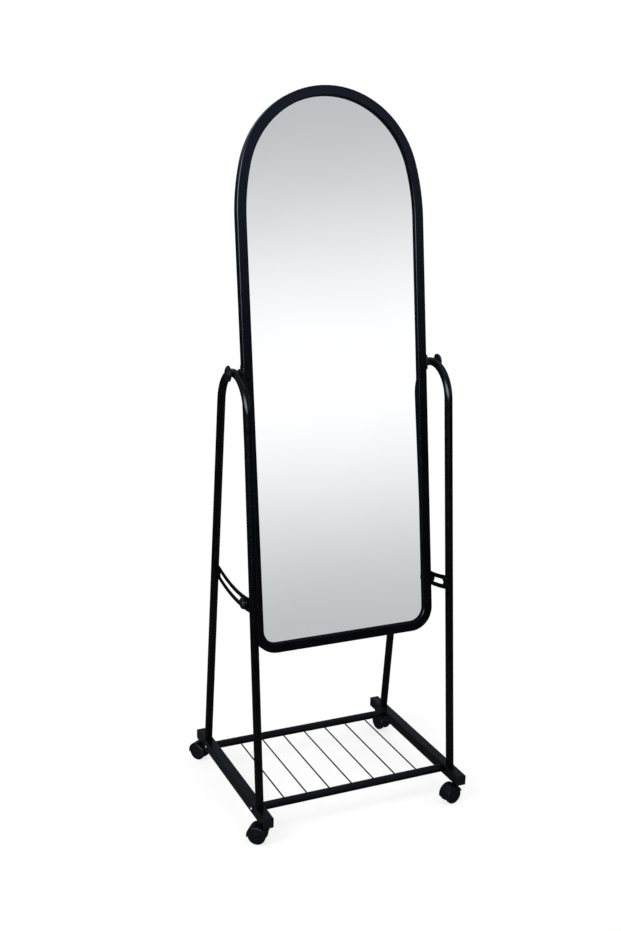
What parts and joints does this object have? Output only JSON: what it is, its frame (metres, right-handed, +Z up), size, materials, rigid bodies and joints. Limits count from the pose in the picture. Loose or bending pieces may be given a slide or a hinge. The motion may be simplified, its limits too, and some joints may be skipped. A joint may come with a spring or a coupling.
{
  "type": "rolling floor mirror",
  "caption": "Arched full-length mirror that tilts between two bent-tube A-frames with slotted clamp arcs, on a low wire-shelf base with swivelling casters.",
  "frame": {"origin": "on the floor under the middle of the base", "axes": "+Z up, +X to the viewer's right, -Y towards the viewer who looks into the mirror"},
  "size_m": [0.5614, 0.4792, 1.6649],
  "materials": {
    "black_paint": "semi-gloss black powder coat, faintly blue",
    "mirror_glass": "silvered float glass",
    "backing_board": "plain hardboard",
    "black_plastic": "fine-grained moulded black",
    "caster_plastic": "smooth moulded black",
    "wheel_plastic": "hard black wheel plastic",
    "zinc_steel": "bright zinc plate"
  },
  "bodies": {
    "stand": {"left_side_rail": "black_paint", "right_side_rail": "black_paint", "rail_end_caps": "black_plastic", "front_cross_tube": "black_paint", "rear_cross_tube": "black_paint", "shelf_wire_1": "black_paint", "shelf_wire_2": "black_paint", "shelf_wire_3": "black_paint", "shelf_wire_4": "black_paint", "shelf_wire_5": "black_paint", "shelf_wire_6": "black_paint", "shelf_wire_7": "black_paint", "left_hoop": "black_paint", "right_hoop": "black_paint", "left_tilt_arc": "black_paint", "right_tilt_arc": "black_paint", "tube_end_plugs": "zinc_steel", "cross_tube_screws": "zinc_steel", "hoop_foot_screws": "zinc_steel", "caster_sockets": "black_plastic", "caster_stems": "zinc_steel"},
    "mirror": {"mirror_frame": "black_paint", "mirror_glass": "mirror_glass", "backing_board": "backing_board", "board_clips": "black_paint", "clip_screws": "zinc_steel", "left_pivot_plate": "black_paint", "right_pivot_plate": "black_paint", "left_pivot_bush": "black_plastic", "right_pivot_bush": "black_plastic", "left_clamp_lug": "black_paint", "right_clamp_lug": "black_paint"},
    "left_pivot_screw": {"left_pivot_knob": "black_plastic", "left_pivot_bolt": "zinc_steel", "left_pivot_washer": "zinc_steel"},
    "left_clamp_screw": {"left_clamp_knob": "black_plastic", "left_clamp_stud": "zinc_steel", "left_clamp_washer": "zinc_steel"},
    "right_pivot_screw": {"right_pivot_knob": "black_plastic", "right_pivot_bolt": "zinc_steel", "right_pivot_washer": "zinc_steel"},
    "right_clamp_screw": {"right_clamp_knob": "black_plastic", "right_clamp_stud": "zinc_steel", "right_clamp_washer": "zinc_steel"},
    "front_left_caster": {"front_left_hood": "caster_plastic", "front_left_axle": "zinc_steel"},
    "front_left_wheel_a": {"front_left_wheel_a": "wheel_plastic"},
    "front_left_wheel_b": {"front_left_wheel_b": "wheel_plastic"},
    "front_right_caster": {"front_right_hood": "caster_plastic", "front_right_axle": "zinc_steel"},
    "front_right_wheel_a": {"front_right_wheel_a": "wheel_plastic"},
    "front_right_wheel_b": {"front_right_wheel_b": "wheel_plastic"},
    "rear_left_caster": {"rear_left_hood": "caster_plastic", "rear_left_axle": "zinc_steel"},
    "rear_left_wheel_a": {"rear_left_wheel_a": "wheel_plastic"},
    "rear_left_wheel_b": {"rear_left_wheel_b": "wheel_plastic"},
    "rear_right_caster": {"rear_right_hood": "caster_plastic", "rear_right_axle": "zinc_steel"},
    "rear_right_wheel_a": {"rear_right_wheel_a": "wheel_plastic"},
    "rear_right_wheel_b": {"rear_right_wheel_b": "wheel_plastic"}
  },
  "joints": [
    {"name": "mirror_tilt", "type": "hinge", "parent": "stand", "child": "mirror", "pos_m": [0, 0, 1.046], "axis": [1, 0, 0], "range_deg": [-6, 16]},
    {"name": "left_pivot_screw_turn", "type": "hinge", "parent": "mirror", "child": "left_pivot_screw", "pos_m": [-0.25, 0, 1.046], "axis": [1, 0, 0], "range_deg": [0, 360]},
    {"name": "left_clamp_screw_turn", "type": "hinge", "parent": "mirror", "child": "left_clamp_screw", "pos_m": [-0.24, -0.04939, 0.52333], "axis": [1, 0, 0], "range_deg": [0, 360]},
    {"name": "right_pivot_screw_turn", "type": "hinge", "parent": "mirror", "child": "right_pivot_screw", "pos_m": [0.25, 0, 1.046], "axis": [1, 0, 0], "range_deg": [-360, 0]},
    {"name": "right_clamp_screw_turn", "type": "hinge", "parent": "mirror", "child": "right_clamp_screw", "pos_m": [0.24, -0.04939, 0.52333], "axis": [1, 0, 0], "range_deg": [-360, 0]},
    {"name": "front_left_swivel", "type": "hinge", "parent": "stand", "child": "front_left_caster", "pos_m": [-0.25, -0.207, 0.045], "axis": [0, 0, 1], "continuous": true},
    {"name": "front_left_wheel_a_roll", "type": "hinge", "parent": "front_left_caster", "child": "front_left_wheel_a", "pos_m": [-0.26187, -0.19704, 0.0215], "axis": [-0.6428, -0.766, 0], "continuous": true},
    {"name": "front_left_wheel_b_roll", "type": "hinge", "parent": "front_left_caster", "child": "front_left_wheel_b", "pos_m": [-0.26187, -0.19704, 0.0215], "axis": [-0.6428, -0.766, 0], "continuous": true},
    {"name": "front_right_swivel", "type": "hinge", "parent": "stand", "child": "front_right_caster", "pos_m": [0.25, -0.207, 0.045], "axis": [0, 0, 1], "continuous": true},
    {"name": "front_right_wheel_a_roll", "type": "hinge", "parent": "front_right_caster", "child": "front_right_wheel_a", "pos_m": [0.23484, -0.21022, 0.0215], "axis": [0.2079, -0.9781, 0], "continuous": true},
    {"name": "front_right_wheel_b_roll", "type": "hinge", "parent": "front_right_caster", "child": "front_right_wheel_b", "pos_m": [0.23484, -0.21022, 0.0215], "axis": [0.2079, -0.9781, 0], "continuous": true},
    {"name": "rear_left_swivel", "type": "hinge", "parent": "stand", "child": "rear_left_caster", "pos_m": [-0.25, 0.207, 0.045], "axis": [0, 0, 1], "continuous": true},
    {"name": "rear_left_wheel_a_roll", "type": "hinge", "parent": "rear_left_caster", "child": "rear_left_wheel_a", "pos_m": [-0.25821, 0.22015, 0.0215], "axis": [-0.848, -0.5299, 0], "continuous": true},
    {"name": "rear_left_wheel_b_roll", "type": "hinge", "parent": "rear_left_caster", "child": "rear_left_wheel_b", "pos_m": [-0.25821, 0.22015, 0.0215], "axis": [-0.848, -0.5299, 0], "continuous": true},
    {"name": "rear_right_swivel", "type": "hinge", "parent": "stand", "child": "rear_right_caster", "pos_m": [0.25, 0.207, 0.045], "axis": [0, 0, 1], "continuous": true},
    {"name": "rear_right_wheel_a_roll", "type": "hinge", "parent": "rear_right_caster", "child": "rear_right_wheel_a", "pos_m": [0.25296, 0.19179, 0.0215], "axis": [0.9816, 0.1908, 0], "continuous": true},
    {"name": "rear_right_wheel_b_roll", "type": "hinge", "parent": "rear_right_caster", "child": "rear_right_wheel_b", "pos_m": [0.25296, 0.19179, 0.0215], "axis": [0.9816, 0.1908, 0], "continuous": true}
  ]
}
